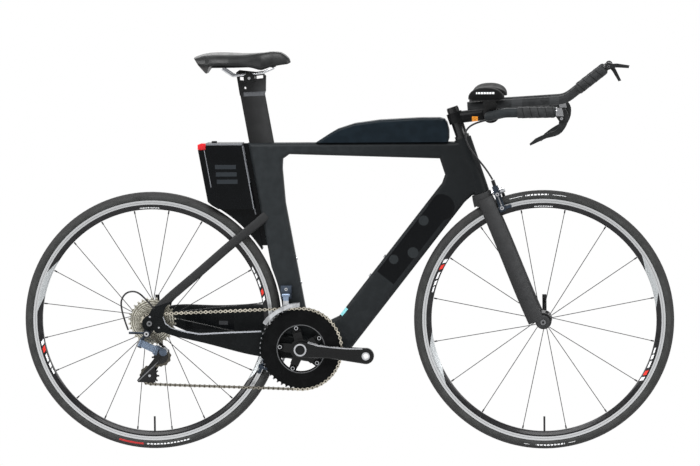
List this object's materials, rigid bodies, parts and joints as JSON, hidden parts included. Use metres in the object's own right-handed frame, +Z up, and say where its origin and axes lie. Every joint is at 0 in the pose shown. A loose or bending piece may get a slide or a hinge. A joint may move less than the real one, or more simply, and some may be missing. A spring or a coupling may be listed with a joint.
{
  "type": "time trial bike",
  "caption": "Time trial bike: aero frame with rear storage box and top tube box, deep seat post, aero bars with arm rests, rim brakes, alloy wheels and a derailleur drive, without pedals.",
  "frame": {"origin": "on the ground under the frame's mid-plane, midway along the bike's overall length and width", "axes": "+X forward along the bike, +Y to the rider's left (the drive is on -Y), +Z up"},
  "size_m": [1.6835, 0.4374, 1.0292],
  "materials": {
    "frame_carbon": "satin black carbon with gloss panels",
    "black_alloy": "black anodised",
    "silver_alloy": "polished and brushed",
    "rim_alloy": "black anodised with a machined brake track",
    "steel": "bright steel",
    "tyre_rubber": "matt rubber",
    "rubber": "matt rubber",
    "saddle_skin": "smooth black cover over foam",
    "pad_fabric": "black cloth over foam",
    "grip_tape": "wrapped dark grey tape",
    "box_plastic": "moulded black plastic",
    "lid_plastic": "grey black plastic",
    "lens_red": "red lens",
    "cable_cover": "black cable housing"
  },
  "bodies": {
    "frame": {"main_frame": "frame_carbon", "chainstays": "frame_carbon", "seatstays": "frame_carbon", "derailleur_hanger": "black_alloy", "bearings": "steel", "bottle_bolts": "steel", "storage_box": "box_plastic", "tail_light": "lens_red", "top_tube_box": "rubber", "rear_skewer": "steel", "rear_brake_mount": "steel", "front_mech_mount": "silver_alloy", "rear_mech_knuckle": "black_alloy", "shift_housing": "cable_cover", "chain": "steel"},
    "saddle_post": {"seatpost": "frame_carbon", "saddle_cover": "saddle_skin", "saddle_frame": "steel", "saddle_clamp": "black_alloy"},
    "steering": {"fork": "frame_carbon", "headset_spacers": "black_alloy", "stem": "black_alloy", "base_bar": "black_alloy", "bar_grips": "grip_tape", "extensions": "black_alloy", "armrest_brackets": "black_alloy", "armrest_pads": "pad_fabric", "control_bodies": "silver_alloy", "front_skewer": "steel", "front_brake_mount": "steel", "front_brake_housing": "cable_cover"},
    "front_wheel": {"front_rim": "rim_alloy", "front_tyre": "tyre_rubber", "front_spokes": "steel", "front_hub": "black_alloy"},
    "rear_wheel": {"rear_rim": "rim_alloy", "rear_tyre": "tyre_rubber", "rear_spokes": "steel", "rear_hub": "black_alloy"},
    "crank": {"crank_arms": "black_alloy", "chainrings": "black_alloy", "chainring_bolts": "silver_alloy"},
    "cassette": {"cassette": "steel"},
    "storage_lid": {"storage_lid": "lid_plastic"},
    "front_skewer_lever": {"front_skewer_lever": "black_alloy"},
    "rear_skewer_lever": {"rear_skewer_lever": "black_alloy"},
    "front_brake_arm_right": {"front_brake_arm_right": "silver_alloy"},
    "front_brake_arm_left": {"front_brake_arm_left": "silver_alloy"},
    "rear_brake_arm_right": {"rear_brake_arm_right": "silver_alloy"},
    "rear_brake_arm_left": {"rear_brake_arm_left": "silver_alloy"},
    "front_mech_cage": {"front_mech_cage": "silver_alloy"},
    "rear_mech_link": {"rear_mech_link": "silver_alloy"},
    "rear_mech_body": {"rear_mech_body": "black_alloy"},
    "rear_mech_cage": {"rear_mech_cage": "black_alloy"},
    "guide_pulley": {"guide_pulley": "box_plastic"},
    "tension_pulley": {"tension_pulley": "box_plastic"},
    "right_brake_lever": {"right_brake_lever": "black_alloy"},
    "left_brake_lever": {"left_brake_lever": "black_alloy"},
    "right_shift_lever": {"right_shift_lever": "black_alloy"},
    "left_shift_lever": {"left_shift_lever": "black_alloy"}
  },
  "joints": [
    {"name": "steer", "type": "hinge", "parent": "frame", "child": "steering", "pos_m": [0.3478, 0, 0.664], "axis": [-0.3156, 0, 0.9489], "range_deg": [-45, 45]},
    {"name": "front_wheel_spin", "type": "hinge", "parent": "steering", "child": "front_wheel", "pos_m": [0.5068, 0, 0.335], "axis": [0, 1, 0], "continuous": true},
    {"name": "rear_wheel_spin", "type": "hinge", "parent": "frame", "child": "rear_wheel", "pos_m": [-0.5068, 0, 0.335], "axis": [0, 1, 0], "continuous": true},
    {"name": "crank_spin", "type": "hinge", "parent": "frame", "child": "crank", "pos_m": [-0.118, 0, 0.2652], "axis": [0, 1, 0], "continuous": true, "deforming": ["chain"]},
    {"name": "cassette_spin", "type": "hinge", "parent": "frame", "child": "cassette", "pos_m": [-0.5068, 0, 0.335], "axis": [0, 1, 0], "continuous": true},
    {"name": "seatpost_slide", "type": "slide", "parent": "frame", "child": "saddle_post", "axis": [-0.1736, 0, 0.9848], "range_m": [0, 0.04]},
    {"name": "storage_lid_hinge", "type": "hinge", "parent": "frame", "child": "storage_lid", "pos_m": [-0.2661, 0, 0.7962], "axis": [0, 1, 0], "range_deg": [0, 70]},
    {"name": "front_skewer_lever_hinge", "type": "hinge", "parent": "steering", "child": "front_skewer_lever", "pos_m": [0.5068, 0.0746, 0.335], "axis": [-1, 0, 0], "range_deg": [0, 170]},
    {"name": "rear_skewer_lever_hinge", "type": "hinge", "parent": "frame", "child": "rear_skewer_lever", "pos_m": [-0.5068, 0.0886, 0.335], "axis": [-1, 0, 0], "range_deg": [0, 170]},
    {"name": "front_brake_arm_right_hinge", "type": "hinge", "parent": "steering", "child": "front_brake_arm_right", "pos_m": [0.39511, 0, 0.66881], "axis": [0.9483, 0, 0.3173], "range_deg": [0, 1.5]},
    {"name": "front_brake_arm_left_hinge", "type": "hinge", "parent": "steering", "child": "front_brake_arm_left", "pos_m": [0.39511, 0, 0.66881], "axis": [0.9483, 0, 0.3173], "range_deg": [-1.5, 0]},
    {"name": "rear_brake_arm_right_hinge", "type": "hinge", "parent": "frame", "child": "rear_brake_arm_right", "pos_m": [-0.18043, 0, 0.20314], "axis": [-0.3746, 0, -0.9272], "range_deg": [0, 0.5]},
    {"name": "rear_brake_arm_left_hinge", "type": "hinge", "parent": "frame", "child": "rear_brake_arm_left", "pos_m": [-0.18043, 0, 0.20314], "axis": [-0.3746, 0, -0.9272], "range_deg": [-0.5, 0]},
    {"name": "front_mech_cage_hinge", "type": "hinge", "parent": "frame", "child": "front_mech_cage", "pos_m": [-0.156, -0.0415, 0.404], "axis": [1, 0, 0], "range_deg": [0, 8]},
    {"name": "rear_mech_link_hinge", "type": "hinge", "parent": "frame", "child": "rear_mech_link", "pos_m": [-0.53, -0.076, 0.2845], "axis": [0.3641, 0, 0.9313], "range_deg": [0, 44], "deforming": ["chain"]},
    {"name": "rear_mech_body_hinge", "type": "hinge", "parent": "rear_mech_link", "child": "rear_mech_body", "pos_m": [-0.4877, -0.09436, 0.26796], "axis": [0.3641, 0, 0.9313], "range_deg": [-44, 0], "deforming": ["chain"]},
    {"name": "rear_mech_cage_hinge", "type": "hinge", "parent": "rear_mech_body", "child": "rear_mech_cage", "pos_m": [-0.47, -0.065, 0.263], "axis": [0, 1, 0], "range_deg": [-15, 22], "stiffness_Nm_per_rad": 0.6, "deforming": ["chain"]},
    {"name": "guide_pulley_spin", "type": "hinge", "parent": "rear_mech_cage", "child": "guide_pulley", "pos_m": [-0.48, -0.0595, 0.248], "axis": [0, 1, 0], "continuous": true},
    {"name": "tension_pulley_spin", "type": "hinge", "parent": "rear_mech_cage", "child": "tension_pulley", "pos_m": [-0.50996, -0.0595, 0.19834], "axis": [0, 1, 0], "continuous": true},
    {"name": "right_brake_lever_hinge", "type": "hinge", "parent": "steering", "child": "right_brake_lever", "pos_m": [0.56, -0.205, 0.865], "axis": [0, 1, 0], "range_deg": [0, 25], "stiffness_Nm_per_rad": 0.8},
    {"name": "left_brake_lever_hinge", "type": "hinge", "parent": "steering", "child": "left_brake_lever", "pos_m": [0.56, 0.205, 0.865], "axis": [0, 1, 0], "range_deg": [0, 25], "stiffness_Nm_per_rad": 0.8},
    {"name": "right_shift_lever_hinge", "type": "hinge", "parent": "steering", "child": "right_shift_lever", "pos_m": [0.677, -0.058, 0.9897], "axis": [0, 1, 0], "range_deg": [0, 75]},
    {"name": "left_shift_lever_hinge", "type": "hinge", "parent": "steering", "child": "left_shift_lever", "pos_m": [0.677, 0.058, 0.9897], "axis": [0, 1, 0], "range_deg": [-60, 0]}
  ],
  "couplings": [
    {"joint": "cassette_spin", "follows": "crank_spin", "ratio": 4.7273},
    {"joint": "guide_pulley_spin", "follows": "crank_spin", "ratio": -4.7273},
    {"joint": "tension_pulley_spin", "follows": "crank_spin", "ratio": 4.7273},
    {"joint": "front_brake_arm_right_hinge", "follows": "left_brake_lever_hinge", "ratio": 0.06},
    {"joint": "front_brake_arm_left_hinge", "follows": "left_brake_lever_hinge", "ratio": -0.06},
    {"joint": "rear_brake_arm_right_hinge", "follows": "right_brake_lever_hinge", "ratio": 0.02},
    {"joint": "rear_brake_arm_left_hinge", "follows": "right_brake_lever_hinge", "ratio": -0.02},
    {"joint": "rear_mech_link_hinge", "follows": "right_shift_lever_hinge", "ratio": 0.58667},
    {"joint": "rear_mech_body_hinge", "follows": "right_shift_lever_hinge", "ratio": -0.58667},
    {"joint": "front_mech_cage_hinge", "follows": "left_shift_lever_hinge", "ratio": -0.13333}
  ]
}
